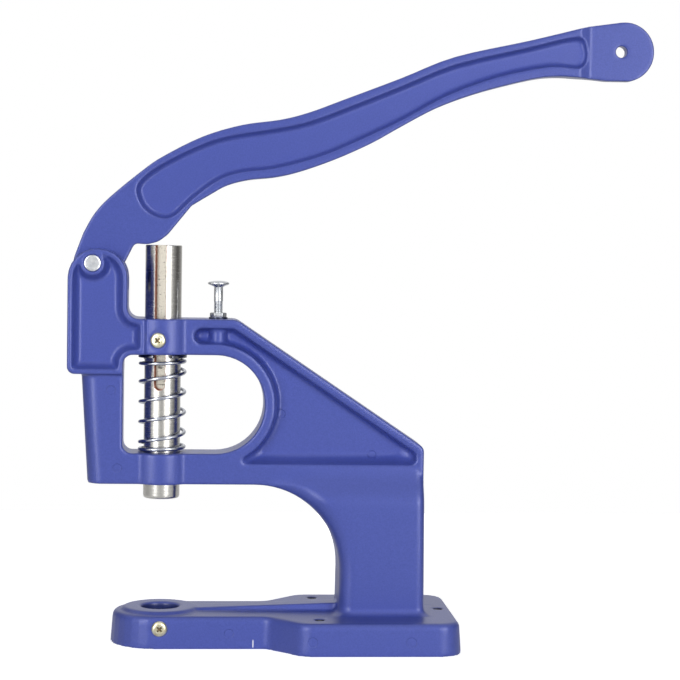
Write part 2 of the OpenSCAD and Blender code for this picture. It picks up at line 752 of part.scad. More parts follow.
// Half thickness of the lever along X: thick arm, then the flat round end
step_x = lever_end.x - lever_end_r * 1.55;
lever_plan = [
    [pivot.x - 2 * hub_r, -lever_w / 2],
    [step_x, -lever_w / 2],
    [step_x + lever_end_r * 0.35, -lever_end_w / 2],
    [lever_end.x + 2 * lever_end_r, -lever_end_w / 2],
    [lever_end.x + 2 * lever_end_r, lever_end_w / 2],
    [step_x + lever_end_r * 0.35, lever_end_w / 2],
    [step_x, lever_w / 2],
    [pivot.x - 2 * hub_r, lever_w / 2]];

module lever_hollow() {
    hollow = loop(on_lever(hollow_shares), 3);
    loft(concat(
        [for (c = cove_shares)
            upright(inset(hollow, c[1] * lever_draft), -lever_w / 2 + c[0] * lever_pocket_depth)],
        [upright(hollow, -lever_w / 2 - over)]));
}

module lever() {
    color(blue)
        difference() {
            intersection() {
                slab(lever_outline(), lever_w + 2 * over);
                translate([0, 0, slot_floor_z])
                    linear_extrude(height = 2 * lever_rise)
                        polygon(lever_plan);
            }
            both_sides() lever_hollow();
            translate([pivot.x, lever_w, pivot.y])
                rotate([90, 0, 0])
                    cylinder(r = pin_d / 2 + pin_fit, h = 2 * lever_w, $fn = 64);
            translate([lever_end.x - hang_hole_back, lever_w, lever_end.y])
                rotate([90, 0, 0])
                    cylinder(d = hang_hole_d, h = 2 * lever_w, $fn = 48);
        }
}

// Pin through both ears and the lever's hub, chamfered at each end
pin_len = ear_w - 2 * rest_gap;
pin_edge = pin_d * 0.07;
module pivot_pin() {
    color(zinc)
        translate([pivot.x, 0, pivot.y])
            rotate([90, 0, 0])
                rotate_extrude($fn = 64)
                    polygon([[0, -pin_len / 2], [pin_d / 2 - pin_edge, -pin_len / 2],
                             [pin_d / 2, -pin_len / 2 + pin_edge], [pin_d / 2, pin_len / 2 - pin_edge],
                             [pin_d / 2 - pin_edge, pin_len / 2], [0, pin_len / 2]]);
}

// Ram with its keyway, ring groove and punch socket
clip_top_z = upper_arm_z - clip_gap;
clip_z = clip_top_z - clip_t;
groove_r = ram_d / 2 - groove_depth;
ram_edge = ram_d * 0.04;
key_end_z = upper_arm_z - key_below;
key_floor = ram_d / 2 - key_depth;

module ram() {
    color(steel)
        difference() {
            rotate_extrude($fn = 96)
                polygon([[0, ram_foot_z], [ram_d / 2 - ram_edge, ram_foot_z],
                         [ram_d / 2, ram_foot_z + 2 * ram_edge],
                         [ram_d / 2, clip_z - seat_fit], [groove_r, clip_z - seat_fit],
                         [groove_r, clip_top_z + seat_fit], [ram_d / 2, clip_top_z + seat_fit],
                         [ram_d / 2, ram_top_z - ram_edge / 2], [ram_d / 2 - ram_edge / 2, ram_top_z],
                         [0, ram_top_z]]);
            rotate([0, 0, -key_turn]) {
                translate([-key_w / 2, -ram_d, key_end_z + key_w / 2])
                    cube([key_w, ram_d - key_floor, ram_top_z - key_end_z]);
                translate([0, -key_floor, key_end_z + key_w / 2])
                    rotate([90, 0, 0])
                        cylinder(d = key_w, h = ram_d, $fn = 48);
                translate([0, -key_floor / 3, upper_arm_z - key_hole_below])
                    rotate([90, 0, 0])
                        cylinder(d = key_hole_d, h = ram_d, $fn = 32);
            }
            translate([0, 0, ram_foot_z - over])
                cylinder(d = punch_bore_d, h = punch_bore_depth + over, $fn = 48);
        }
}

// Open ring in the ram's groove, which the spring pushes up against
module retaining_ring() {
    color(steel)
        translate([0, 0, clip_z])
            difference() {
                cylinder(d = clip_d, h = clip_t, $fn = 64);
                translate([0, 0, -over])
                    cylinder(r = groove_r + seat_fit, h = clip_t + 2 * over, $fn = 64);
                translate([-clip_mouth / 2, -clip_d, -over])
                    cube([clip_mouth, clip_d, clip_t + 2 * over]);
            }
}

// Return spring: one helical wire with closed end turns
spring_foot_z = window_z + rest_gap;
spring_len = clip_z - rest_gap - spring_foot_z;
turns = open_turns + 2 * end_turns;
spring_start_share = 0.62;
turn_steps = 8;
wire_sides = 6;
close_pitch = wire_d * 1.35;
open_pitch = (spring_len - wire_d - 2 * end_turns * close_pitch) / open_turns;
function wire_z(t) =
    spring_foot_z + wire_d / 2 + min(t, end_turns) * close_pitch
    + min(max(t - end_turns, 0), open_turns) * open_pitch
    + max(t - end_turns - open_turns, 0) * close_pitch;
// The path leaves each end straight, for one wire diameter
spring_r = spring_d / 2;
function coil_angle(t) = 360 * (t + spring_start_share);
function coil_point(t) = [spring_r * sin(coil_angle(t)), -spring_r * cos(coil_angle(t)), wire_z(t)];
function coil_way(t) = [cos(coil_angle(t)), sin(coil_angle(t)), 0];
wire_path = concat(
    [coil_point(0) - wire_d * coil_way(0)],
    [for (i = [0:turns * turn_steps]) coil_point(i / turn_steps)],
    [coil_point(turns) + wire_d * coil_way(turns)]);
function wire_ring(i) =
    let (last = len(wire_path) - 1,
         way = unit(wire_path[min(i + 1, last)] - wire_path[max(i - 1, 0)]),
         side = unit(cross(way, [0, 0, 1])),
         up = cross(side, way))
    [for (k = [0:wire_sides - 1])
        wire_path[i] + wire_d / 2 * (cos(360 * k / wire_sides) * side + sin(360 * k / wire_sides) * up)];

// Least gap between points of the wire that are at least half a turn apart
wire_gap = min([for (i = [0:len(wire_path) - 1]) for (j = [i + turn_steps / 2:1:len(wire_path) - 1])
    norm(wire_path[i] - wire_path[j]) - wire_d]);
echo(least_gap_of_spring = wire_gap);

module return_spring() {
    color(zinc)
        loft([for (i = [len(wire_path) - 1:-1:0]) wire_ring(i)]);
}

// Screw with a low domed head and a cross recess, pointing along +Y from its seat
recess_w = screw_head_d * 0.12;
recess_len = screw_head_d * 0.52;
module cross_screw(shank) {
    difference() {
        rotate([90, 0, 0])
            rotate_extrude($fn = 48)
                polygon(concat(
                    [[0, -shank], [screw_d / 2 - seat_fit - screw_d * 0.1, -shank],
                     [screw_d / 2 - seat_fit, -shank + screw_d * 0.1],
                     [screw_d / 2 - seat_fit, 0], [screw_head_d / 2, 0]],
                    [for (a = [0:15:90])
                        [screw_head_d / 2 * (0.55 + 0.45 * cos(a)), screw_head_h * (0.35 + 0.65 * sin(a))]],
                    [[0, screw_head_h]]));
        for (a = [45, 135])
            rotate([0, a, 0])
                translate([-recess_len / 2, -screw_head_h - over, -recess_w / 2])
                    cube([recess_len, screw_head_h * 0.6 + over, recess_w]);
    }
}

// Screw in the upper collar, whose tip runs in the keyway
module ram_guide_screw() {
    color(yellow_zinc)
        translate([0, 0, key_screw_z])
            rotate([0, 0, -key_turn])
                translate([0, -collar_r + seat_sink - seat_fit, 0])
                    cross_screw(collar_r - seat_sink - key_floor - key_depth * 0.25);
}

// Screw in the base that clamps the lower die
module die_clamp_screw() {
    color(yellow_zinc)
        translate([0, -neck_w / 2 + seat_sink - seat_fit, clamp_z])
            cross_screw(neck_w / 2 - seat_sink - die_bore_d / 2 - 2 * rest_gap);
}

// Bolt with a thin mushroom head that stops the lever
stop_head_h = stop_head_d * 0.22;
module stop_bolt() {
    color(zinc)
        translate([stop_x, 0, arm_top_z + stop_rise])
            rotate_extrude($fn = 48)
                polygon(concat(
                    [[0, -stop_len], [screw_d / 2 - screw_d * 0.15, -stop_len],
                     [screw_d / 2 - seat_fit, -stop_len + screw_d * 0.15],
                     [screw_d / 2 - seat_fit, -stop_head_h * 1.2], [stop_head_d / 2, -stop_head_h * 0.75]],
                    [for (a = [0:15:90])
                        [stop_head_d / 2 * cos(a), -stop_head_h * 0.5 * (1 - sin(a))]]));
}

module stop_washer() {
    color(zinc)
        translate([stop_x, 0, arm_top_z])
            difference() {
                cylinder(d = washer_d, h = washer_t, $fn = 48);
                translate([0, 0, -over])
                    cylinder(d = screw_d + 4 * seat_fit, h = washer_t + 2 * over, $fn = 48);
            }
}

module stop_lock_nut() {
    color(zinc)
        translate([stop_x, 0, arm_top_z + washer_t])
            difference() {
                cylinder(d = nut_flats / cos(30), h = nut_h, $fn = 6);
                translate([0, 0, -over])
                    cylinder(d = screw_d + 2 * seat_fit, h = nut_h + 2 * over, $fn = 48);
            }
}

frame_casting();
lever();
pivot_pin();
ram();
return_spring();
retaining_ring();
ram_guide_screw();
die_clamp_screw();
stop_bolt();
stop_lock_nut();
stop_washer();
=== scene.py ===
"""Looks of a hand lever eyelet press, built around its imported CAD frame.

The two castings are softened copies of their CAD solids. The small steel
pieces are modelled again here with the detail that they show close up.
"""

import math
from functools import partial

import bmesh
import bpy
from bpy.props import FloatProperty, FloatVectorProperty, PointerProperty
from mathutils import Matrix, Vector


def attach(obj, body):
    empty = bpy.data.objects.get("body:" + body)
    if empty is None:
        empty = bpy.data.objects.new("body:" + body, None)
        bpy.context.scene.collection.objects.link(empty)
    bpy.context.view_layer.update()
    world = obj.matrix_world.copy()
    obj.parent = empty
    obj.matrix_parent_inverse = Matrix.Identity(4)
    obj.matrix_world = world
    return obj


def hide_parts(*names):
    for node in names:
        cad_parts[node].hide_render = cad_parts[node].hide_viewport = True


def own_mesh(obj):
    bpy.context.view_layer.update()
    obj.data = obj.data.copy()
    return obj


bl_info = {
    "name": "Eyelet Press",
    "version": (1, 0, 0),
    "blender": (4, 5, 0),
    "location": "3D View > Sidebar > Eyelet Press",
    "description": "Builds the detailed hand lever eyelet press around its CAD frame",
    "category": "Object",
}

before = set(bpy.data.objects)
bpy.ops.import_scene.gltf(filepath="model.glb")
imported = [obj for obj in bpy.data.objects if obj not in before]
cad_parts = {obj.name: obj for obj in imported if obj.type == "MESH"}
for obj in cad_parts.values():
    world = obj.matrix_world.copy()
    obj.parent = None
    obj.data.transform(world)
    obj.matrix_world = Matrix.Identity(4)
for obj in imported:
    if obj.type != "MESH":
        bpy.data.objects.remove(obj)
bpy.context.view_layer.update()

MM = 0.001

# Places that the CAD source gives, in millimetres
ARM_TOP = 178.5
UPPER_ARM = 158.9
SEAT_DEPTH = 1.2
PIVOT = (-38.2, 208.3)
STOP_X = 30.2
CLAMP_Z = 11.0
NECK_HALF = 26.25
COLLAR_R = 17.0
GUIDE_Z = 166.94
KEY_TURN = math.radians(8.6)
KEY_END = 139.4
KEY_FLOOR = 6.8
KEY_HALF = 2.85
KEY_HOLE_R = 1.5
KEY_HOLE_Z = UPPER_ARM - 6.6
DIE_BORE_R = 10.25
BENCH_R = 2.5
RAM_R = 10.0
RAM_FOOT = 79.5
RAM_TOP = 218.5
GROOVE_R = 9.2
CLIP_LOW = 156.9
CLIP_TOP = 158.4
SPRING_FOOT = 105.0
STOP_TOP = 199.3
WASHER_H = 0.9
NUT_H = 2.4

QUARTER = math.radians(90)


def srgb(hex_code):
    """Turns an sRGB hex code into linear red, green and blue."""
    values = [int(hex_code[i:i + 2], 16) / 255 for i in (1, 3, 5)]
    return tuple(v / 12.92 if v <= 0.04045 else ((v + 0.055) / 1.055) ** 2.4 for v in values)


def opaque(colour):
    """Adds full alpha to a colour property."""
    return (colour[0], colour[1], colour[2], 1.0)


class EyeletPressSettings(bpy.types.PropertyGroup):
    """Sizes and colours of the eyelet press that can be changed."""

    frame_grain: FloatProperty(
        name="Frame mesh grain", description="Size of the cells that the frame's skin is made of",
        default=0.9 * MM, min=0.6 * MM, max=3 * MM, precision=5, unit="LENGTH")
    lever_grain: FloatProperty(
        name="Lever mesh grain", description="Size of the cells that the lever's skin is made of",
        default=0.65 * MM, min=0.5 * MM, max=3 * MM, precision=5, unit="LENGTH")
    wire: FloatProperty(
        name="Spring wire", description="Diameter of the return spring's wire",
        default=2.0 * MM, min=1.2 * MM, max=2.2 * MM, precision=5, unit="LENGTH")
    thread_pitch: FloatProperty(
        name="Thread pitch", description="Distance from one turn of the stop bolt's thread to the next",
        default=0.8 * MM, min=0.5 * MM, max=1.25 * MM, precision=5, unit="LENGTH")
    edge: FloatProperty(
        name="Broken edge", description="Width of the broken edges on the steel pieces",
        default=0.18 * MM, min=0.02 * MM, max=0.5 * MM, precision=5, unit="LENGTH")
    coat_colour: FloatVectorProperty(
        name="Coat", description="Colour of the powder coat",
        default=srgb("#424F9C"), size=3, min=0, max=1, subtype="COLOR")
    steel_colour: FloatVectorProperty(
        name="Ram steel", description="Colour of the ram's ground steel",
        default=srgb("#D8D6D1"), size=3, min=0, max=1, subtype="COLOR")
    zinc_colour: FloatVectorProperty(
        name="Bright zinc", description="Colour of the bright zinc plate",
        default=srgb("#DADCDE"), size=3, min=0, max=1, subtype="COLOR")
    yellow_colour: FloatVectorProperty(
        name="Yellow zinc", description="Colour of the yellow passivated zinc plate",
        default=srgb("#DDD6AE"), size=3, min=0, max=1, subtype="COLOR")


def fill(node, inputs):
    """Sets a node's inputs by name, or in their order. A node given for an
    input is linked by the first output that it shows."""
    for name, value in inputs.items() if isinstance(inputs, dict) else enumerate(inputs):
        if isinstance(value, bpy.types.Node):
            value = next(output for output in value.outputs if output.enabled)
        if isinstance(value, bpy.types.NodeSocket):
            node.id_data.links.new(value, node.inputs[name])
        else:
            node.inputs[name].default_value = value


def add_node(tree, kind, inputs=(), **settings):
    """Adds a shader node, sets its own settings, and fills its inputs."""
    node = tree.nodes.new("ShaderNode" + kind)
    for name, value in settings.items():
        setattr(node, name, value)
    fill(node, inputs)
    return node


def blank_material(name):
    """Starts a node material. Returns it with its call that adds nodes, its
    shader and the object coordinates."""
    material = bpy.data.materials.new(name)
    material.use_nodes = True
    material.node_tree.nodes.clear()
    add = partial(add_node, material.node_tree)
    shader = add("BsdfPrincipled")
    add("OutputMaterial", {"Surface": shader})
    return material, add, shader, add("TexCoord").outputs["Object"]


def camera_and_mirrors(add):
    """Tells the rays that the camera sees from those that mirrors and glass see."""
    path = add("LightPath").outputs
    mirrors = add("Math", (path["Is Glossy Ray"], path["Is Transmission Ray"]), operation="MAXIMUM")
    return path["Is Camera Ray"], mirrors


# Ejector pin marks: place on the casting's faces and radius, in millimetres
EJECTOR_MARKS = (
    (-27.7, -12.5, 139.5, 2.6),
    (-24.0, -12.5, 96.9, 2.6),
    (65.4, -3.5, 126.4, 2.6),
    (116.2, -3.5, 104.0, 2.6),
    (37.7, -26.2, 8.4, 2.8),
    (82.0, -47.0, 7.8, 3.0),
    (135.2, -47.0, 7.7, 3.0),
    (150.5, 9.1, 17.5, 2.4),
)

# Nick in the coat on the base's front: X and height of its middle
NICK = (50.75, 3.0)

# Bench screw holes and die bore, darkened inside as painted shade: middle, radius, height of the mouth and
# strength of the painted shade
SHADED_HOLES = (
    (86.5, -33.0, BENCH_R, 17.2, 1.0),
    (86.5, 33.0, BENCH_R, 17.2, 1.0),
    (155.0, 0.0, BENCH_R, 17.2, 1.0),
    (0.0, 0.0, DIE_BORE_R, 18.4, 0.6),
)


def make_powder_coat(settings):
    """Blue polyester powder coat, sprayed and baked on a zinc or aluminium
    casting: satin, with fine orange peel that breaks up its highlights, and
    shallow round marks where the mould's ejector pins pushed. A nick low on
    the base's front shows bare metal as a short bright line. The insides of the
    bench screw holes and the die bore are painted dark, as painted shade."""
    material, add, shader, place = blank_material("Blue Powder Coat")
    peel = add("TexNoise", {"Vector": place, "Scale": 1 / (1.5 * MM), "Detail": 3, "Roughness": 0.55})
    fine = add("TexNoise", {"Vector": place, "Scale": 1 / (0.55 * MM), "Detail": 1, "Roughness": 0.5})
    mottle = add("TexNoise", {"Vector": place, "Scale": 1 / (0.8 * MM), "Detail": 2, "Roughness": 0.6})
    base = settings.coat_colour
    colour = add("Mix", {
        "Factor": add("MapRange", (mottle, 0.3, 0.7)),
        "A": opaque([c * 0.9 for c in base]),
        "B": opaque([min(c * 1.08 + 0.004, 1) for c in base])}, data_type="RGBA")
    height = add("Math", (peel, 1.0, fine), operation="MULTIPLY_ADD")
    normal = add("Bump", {"Strength": 0.35, "Distance": 0.09 * MM, "Height": height})
    sunk = 1.0
    for x, y, z, r in EJECTOR_MARKS:
        far = add("VectorMath", (place, (x * MM, y * MM, z * MM)), operation="DISTANCE")
        wall = add("MapRange", (far, (r - 0.45) * MM, r * MM), interpolation_type="SMOOTHSTEP")
        sunk = add("Math", (sunk, wall), operation="MINIMUM")
    normal = add("Bump", {"Strength": 1.0, "Distance": 0.28 * MM, "Height": sunk, "Normal": normal})
    across, inward, up = add("SeparateXYZ", (place,)).outputs
    beside = add("Math", (add("Math", (across, NICK[0] * MM), operation="SUBTRACT"),), operation="ABSOLUTE")
    along = add("Math", (add("Math", (up, NICK[1] * MM), operation="SUBTRACT"),), operation="ABSOLUTE")
    nick = add("Math", (add("MapRange", (beside, 0.42 * MM, 0.16 * MM)),
                        add("MapRange", (along, 2.4 * MM, 1.6 * MM))), operation="MULTIPLY")
    nick = add("Math", (nick, add("MapRange", (inward, -20 * MM, -21 * MM))), operation="MULTIPLY")
    colour = add("Mix", {"Factor": nick, "A": colour, "B": opaque(srgb("#DADBE6"))}, data_type="RGBA")
    # Painted shade: each hole and the bore are painted dark below the mouth
    for x, y, r, mouth, shade_strength in SHADED_HOLES:
        off = add("CombineXYZ", {
            "X": add("Math", (across, x * MM), operation="SUBTRACT"),
            "Y": add("Math", (inward, y * MM), operation="SUBTRACT")})
        wide = add("VectorMath", (off,), operation="LENGTH")
        hole_shade = add("Math", (add("MapRange", (wide, (r + 0.6) * MM, (r + 0.2) * MM, 0.0, shade_strength)),
                               add("MapRange", (up, (mouth + 0.4) * MM, (mouth - 0.3) * MM))),
                      operation="MULTIPLY")
        colour = add("Mix", {"Factor": hole_shade, "A": colour, "B": opaque(srgb("#0D0F1C"))}, data_type="RGBA")
    fill(shader, {
        "Base Color": colour, "Roughness": add("MapRange", (fine, 0.25, 0.75, 0.28, 0.38)),
        "Normal": normal, "IOR": 1.5, "Specular IOR Level": 0.6})
    return material


def make_ram_steel(settings):
    """Ground carbon steel bar: bright, with fine grinding marks round it that
    draw its reflections out along it, small dark pits in the milled keyway, and
    thin brown rust where oil and dust collect along the keyway's edge. The
    inside of its cross hole is painted dark, as painted shade."""
    material, add, shader, place = blank_material("Ground Steel Bar")
    turned = add("Mapping", {"Vector": place, "Rotation": (0, 0, KEY_TURN)})
    x, y, z = add("SeparateXYZ", (turned,)).outputs
    above = add("Math", (z, (KEY_END + KEY_HALF) * MM), operation="SUBTRACT")
    below = add("Math", (above, 0.0), operation="MINIMUM")
    reach = add("VectorMath", (add("CombineXYZ", (x, 0.0, below)),), operation="LENGTH")
    # Distance from the keyway's outline, less than nothing inside it
    beyond = add("Math", (reach, KEY_HALF * MM), operation="SUBTRACT")
    front = add("MapRange", (y, -3 * MM, -5 * MM))
    ragged = add("TexNoise", {"Vector": place, "Scale": 1 / (1.3 * MM), "Detail": 3, "Roughness": 0.7})
    width = add("MapRange", (ragged, 0.3, 0.7, 0.25 * MM, 0.75 * MM))
    off_line = add("Math", (add("Math", (beyond,), operation="ABSOLUTE"), width), operation="DIVIDE")
    line = add("Math", (1.0, off_line), operation="SUBTRACT")
    # The keyway's right edge has rusted less than its left one
    side = add("MapRange", (x, 2.2 * MM, -0.5 * MM, 0.5, 1.0))
    rust = add("Math", (add("MapRange", (line, 0.0, 0.45)), side), operation="MULTIPLY")
    rust = add("Math", (rust, front), operation="MULTIPLY")
    inside = add("Math", (add("MapRange", (beyond, 0.0, -0.4 * MM)), front), operation="MULTIPLY")
    pitted = add("TexNoise", {"Vector": place, "Scale": 1 / (0.75 * MM), "Detail": 2, "Roughness": 0.6})
    pits_and_hole_shade = add("Math", (add("MapRange", (pitted, 0.6, 0.66)), inside), operation="MULTIPLY")
    # Painted shade: the inside of the cross hole is painted dark, through the same mix as the dark pits
    drop = add("Math", (z, KEY_HOLE_Z * MM), operation="SUBTRACT")
    across = add("VectorMath", (add("CombineXYZ", (x, 0.0, drop)),), operation="LENGTH")
    hole = add("MapRange", (across, (KEY_HOLE_R + 0.1) * MM, (KEY_HOLE_R - 0.15) * MM))
    pits_and_hole_shade = add("Math", (pits_and_hole_shade, add("Math", (hole, front), operation="MULTIPLY")), operation="MAXIMUM")
    specked = add("TexNoise", {"Vector": place, "Scale": 1 / (1.6 * MM), "Detail": 3, "Roughness": 0.75})
    speck = add("Math", (add("MapRange", (specked, 0.69, 0.74)), 0.5), operation="MULTIPLY")
    # Grinding marks half a millimetre wide: real ones are too fine to show
    stretched = add("Mapping", {"Vector": place, "Scale": (0.05, 0.05, 1.0)})
    scratch = add("TexNoise", {"Vector": stretched, "Scale": 1 / (0.5 * MM), "Detail": 3, "Roughness": 0.6})
    bare = add("Mix", {
        "Factor": add("MapRange", (scratch, 0.35, 0.65)),
        "A": opaque([c * 0.86 for c in settings.steel_colour]),
        "B": opaque(settings.steel_colour)}, data_type="RGBA")
    stained = add("Mix", {
        "Factor": add("Math", (pits_and_hole_shade, speck), operation="MAXIMUM"),
        "A": bare, "B": opaque(srgb("#2A2522"))}, data_type="RGBA")
    clean = add("Math", (inside, add("Math", (1.0, pits_and_hole_shade), operation="SUBTRACT")), operation="MULTIPLY")
    milled = add("Mix", {"Factor": clean, "A": stained, "B": opaque(srgb("#CFC9BC"))}, data_type="RGBA")
    colour = add("Mix", {
        "Factor": add("Math", (rust, 0.92), operation="MULTIPLY"),
        "A": milled, "B": opaque(srgb("#8A4A2C"))}, data_type="RGBA")
    worn = add("Math", (add("Math", (rust, 0.4), operation="MULTIPLY"),
                        add("Math", (inside, 0.12), operation="MULTIPLY")), operation="MAXIMUM")
    rough = add("Math", (add("MapRange", (scratch, 0.3, 0.7, 0.2, 0.28)), worn), operation="ADD")
    metal = add("Math", (1.0, add("Math", (rust, 0.8), operation="MULTIPLY")), operation="SUBTRACT")
    fill(shader, {
        "Base Color": colour, "Roughness": rough, "Metallic": metal,
        "Normal": add("Bump", {"Strength": 0.12, "Distance": 0.02 * MM, "Height": scratch}),
        "Tangent": add("Tangent", direction_type="RADIAL", axis="Z"),
        "Anisotropic": 0.4, "Anisotropic Rotation": 0.25})
    return material


def make_spring_wire():
    """Drawn and oiled music wire: a smooth bluish steel that mirrors the room
    as thin bright and dark lines along each turn."""
    material, add, shader, place = blank_material("Drawn Spring Wire")
    drawn = add("TexNoise", {"Vector": place, "Scale": 1 / (0.9 * MM), "Detail": 2, "Roughness": 0.6})
    colour = add("Mix", {
        "Factor": add("MapRange", (drawn, 0.3, 0.7)),
        "A": opaque(srgb("#B4B8C4")), "B": opaque(srgb("#CDD0D8"))}, data_type="RGBA")
    fill(shader, {
        "Base Color": colour, "Roughness": add("MapRange", (drawn, 0.3, 0.7, 0.12, 0.2)), "Metallic": 1.0})
    return material


def make_ring_steel():
    """Phosphated spring steel, stamped: dark grey and slightly oily, with
    brighter worn spots where the spring rubs it."""
    material, add, shader, place = blank_material("Phosphated Ring Steel")
    worn = add("TexNoise", {"Vector": place, "Scale": 1 / (2.2 * MM), "Detail": 3, "Roughness": 0.65})
    colour = add("Mix", {
        "Factor": add("MapRange", (worn, 0.45, 0.7)),
        "A": opaque(srgb("#5A5C66")), "B": opaque(srgb("#9C9EA6"))}, data_type="RGBA")
    fill(shader, {
        "Base Color": colour, "Roughness": add("MapRange", (worn, 0.3, 0.7, 0.3, 0.2)), "Metallic": 1.0})
    return material


def make_plate(name, colour, cloud, spot, recesses=()):
    """Electroplated zinc on cold-formed steel: bright and nearly white, with
    soft clouding a few millimetres wide. A yellow pass leaves it pale gold
    with a faint green and rose cast. The bottoms of the cross recesses are
    painted dark brown, as painted shade."""
    material, add, shader, place = blank_material(name)
    clouds = add("TexNoise", {"Vector": place, "Scale": 1 / (2.5 * MM), "Detail": 2, "Roughness": 0.5})
    spots = add("TexNoise", {"Vector": place, "Scale": 1 / (1.4 * MM), "Detail": 1, "Roughness": 0.5})
    fine = add("TexNoise", {"Vector": place, "Scale": 1 / (0.4 * MM), "Detail": 2, "Roughness": 0.6})
    tint = add("Mix", {
        "Factor": add("MapRange", (clouds, 0.35, 0.65)),
        "A": opaque(colour), "B": opaque(srgb(cloud))}, data_type="RGBA")
    tint = add("Mix", {
        "Factor": add("MapRange", (spots, 0.55, 0.75, 0.0, 0.6)),
        "A": tint, "B": opaque(srgb(spot))}, data_type="RGBA")
    for out, z, turn in recesses:
        # Local frame of a screw: its head's seat at zero, its axis along -Y
        turned = add("Mapping", {"Vector": place, "Rotation": (0, 0, -turn)})
        local = add("VectorMath", (turned, (0, -out * MM, z * MM)), operation="SUBTRACT")
        flat = add("VectorMath", (local, (1, 0, 1)), operation="MULTIPLY")
        off = add("VectorMath", (flat,), operation="LENGTH")
        depth = add("SeparateXYZ", (local,)).outputs["Y"]
        # Painted shade: the bottom of the cross recess is painted dark brown
        recess_shade = add("Math", (add("MapRange", (depth, -2.25 * MM, -1.7 * MM)),
                            add("MapRange", (off, 3.0 * MM, 2.7 * MM))), operation="MULTIPLY")
        recess_shade = add("Math", (recess_shade, add("MapRange", (depth, -0.1 * MM, -0.3 * MM))), operation="MULTIPLY")
        tint = add("Mix", {
            "Factor": add("Math", (recess_shade, 0.85), operation="MULTIPLY"),
            "A": tint, "B": opaque(srgb("#6B5233"))}, data_type="RGBA")
    fill(shader, {
        "Base Color": tint, "Roughness": add("MapRange", (fine, 0.3, 0.7, 0.27, 0.4)), "Metallic": 1.0,
        "Normal": add("Bump", {"Strength": 0.15, "Distance": 0.02 * MM, "Height": fine})})
    return material


def make_bright_zinc(settings):
    """Bright zinc of the pivot pin, the stop bolt and its nut."""
    return make_plate("Bright Zinc Plate", settings.zinc_colour, "#C6CACF", "#EDEFF2")


def finish_named(name, make):
    """Returns a finish that is already there, or makes it."""
    return bpy.data.materials.get(name) or make()


def merged(bm, gap=0.002 * MM):
    """Closes a mesh's seams and poles, and turns its faces outwards."""
    bmesh.ops.remove_doubles(bm, verts=bm.verts, dist=gap)
    bmesh.ops.dissolve_degenerate(bm, dist=gap, edges=bm.edges)
    bmesh.ops.recalc_face_normals(bm, faces=bm.faces)


def turned_mesh(profile, steps=96):
    """Solid of revolution about Z from a profile of (radius, height) in millimetres."""
    bm = bmesh.new()
    corners = [bm.verts.new((r * MM, 0, z * MM)) for r, z in profile]
    edges = [bm.edges.new(pair) for pair in zip(corners, corners[1:])]
    bmesh.ops.spin(bm, geom=corners + edges, cent=(0, 0, 0), axis=(0, 0, 1), dvec=(0, 0, 0),
                   angle=2 * math.pi, steps=steps, use_merge=True, use_duplicate=False)
    merged(bm)
    return bm


def block(size, centre):
    """Box mesh of a size and centre in millimetres."""
    bm = bmesh.new()
    bmesh.ops.create_cube(bm, size=MM)
    bmesh.ops.scale(bm, vec=size, verts=bm.verts)
    shift_mesh(bm, centre)
    return bm


def rod(radius, length, start, steps=48, top_radius=None):
    """Bar along Z from a start point, in millimetres."""
    bm = bmesh.new()
    bmesh.ops.create_cone(bm, cap_ends=True, segments=steps, radius1=radius * MM,
                          radius2=(radius if top_radius is None else top_radius) * MM, depth=length * MM)
    shift_mesh(bm, Vector(start) + Vector((0, 0, length / 2)))
    return bm


def turn_mesh(bm, angle, axis, verts=None):
    """Turns a mesh, or some of its corners, about an axis through the origin."""
    bmesh.ops.rotate(bm, cent=(0, 0, 0), matrix=Matrix.Rotation(angle, 3, axis), verts=verts or bm.verts)


def shift_mesh(bm, way, verts=None):
    """Moves a mesh, or some of its corners, by millimetres."""
    bmesh.ops.translate(bm, vec=Vector(way) * MM, verts=verts or bm.verts)


def as_object(name, bm):
    """Puts a bmesh into a new object in the scene."""
    mesh = bpy.data.meshes.new(name)
    bm.to_mesh(mesh)
    bm.free()
    obj = bpy.data.objects.new(name, mesh)
    bpy.context.scene.collection.objects.link(obj)
    return obj


def bake_modifiers(obj):
    """Replaces an object's mesh by what its modifiers make of it."""
    bpy.context.view_layer.update()
    graph = bpy.context.evaluated_depsgraph_get()
    baked = bpy.data.meshes.new_from_object(obj.evaluated_get(graph))
    obj.modifiers.clear()
    old = obj.data
    obj.data = baked
    bpy.data.meshes.remove(old)


def combine(obj, bm, operation):
    """Cuts a mesh from an object, or keeps what both share."""
    tool = as_object("tool", bm)
    step = obj.modifiers.new("combine", "BOOLEAN")
    step.object = tool
    step.operation = operation
    step.solver = "EXACT"
    bake_modifiers(obj)
    mesh = tool.data
    bpy.data.objects.remove(tool)
    bpy.data.meshes.remove(mesh)


def break_edges(obj, width, segments=2, angle=35):
    """Bevels the sharp edges of an object's mesh."""
    bm = bmesh.new()
    bm.from_mesh(obj.data)
    merged(bm)
    least = math.radians(angle)
    sharp = [e for e in bm.edges if len(e.link_faces) == 2 and e.calc_face_angle(0) > least]
    bmesh.ops.bevel(bm, geom=sharp, offset=width, offset_type="OFFSET", affect="EDGES",
                    segments=segments, profile=0.5, material=-1, clamp_overlap=True)
    merged(bm)
    bm.to_mesh(obj.data)
    bm.free()


def settle(obj, material, node, body, smooth_angle=32):
    """Shades a finished piece and ties it to its CAD node, body and slot."""
    obj.name = "press_" + node
    obj.data.materials.clear()
    obj.data.materials.append(material)
    obj.data.shade_smooth()
    if smooth_angle:
        obj.data.set_sharp_from_angle(angle=math.radians(smooth_angle))
    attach(obj, body)
    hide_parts(node)


